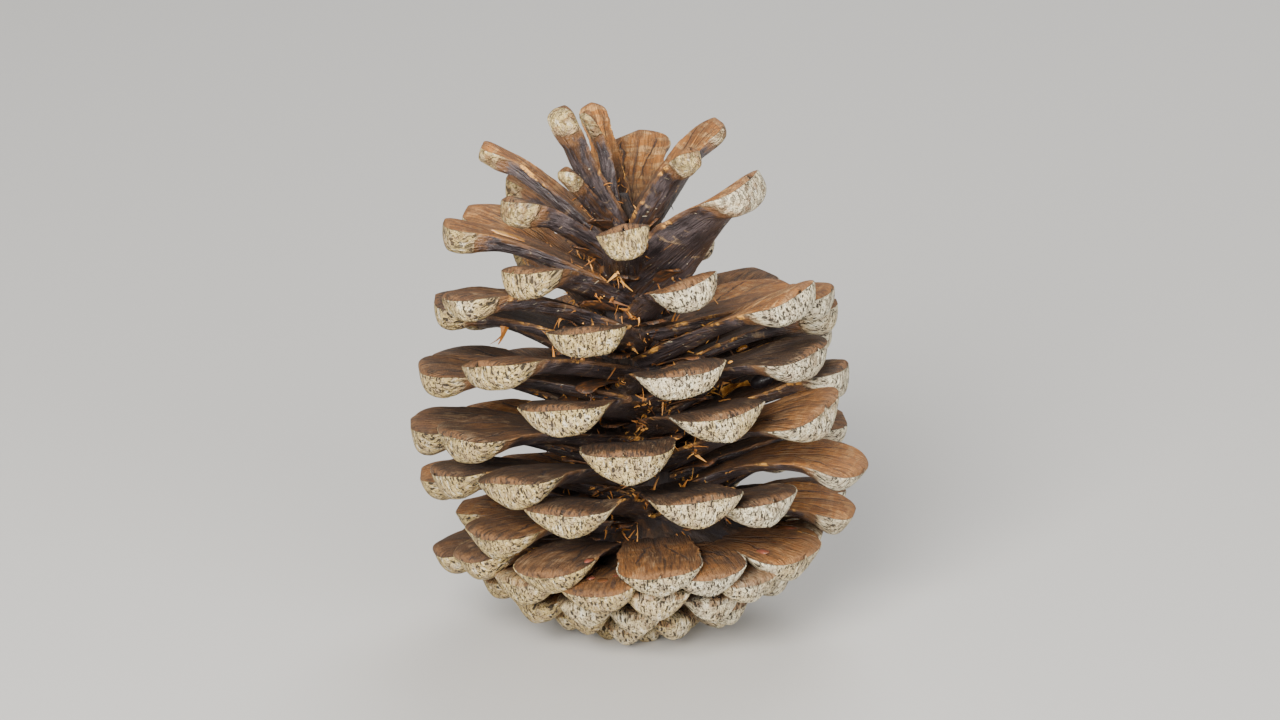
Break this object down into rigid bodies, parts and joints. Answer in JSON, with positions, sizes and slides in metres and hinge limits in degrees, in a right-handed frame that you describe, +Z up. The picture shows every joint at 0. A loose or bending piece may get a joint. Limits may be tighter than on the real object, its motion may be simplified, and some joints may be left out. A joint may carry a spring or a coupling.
{
  "type": "scots pine cone",
  "caption": "Open, dry conifer cone standing on its base: woody scales spiral up a central axis, packed into a bowl below and spread apart above.",
  "frame": {"origin": "centre of the cone's bounding box at the level of the flat spots that it stands on", "axes": "+Z up along the cone, -Y towards the side that the picture shows, +X to that side's right"},
  "size_m": [0.0442, 0.0435, 0.0536],
  "materials": {
    "cone_wood": "dry cone wood, satin brown tongues with pale cracked shields"
  },
  "bodies": {
    "root": {"cone": "cone_wood"}
  },
  "joints": []
}
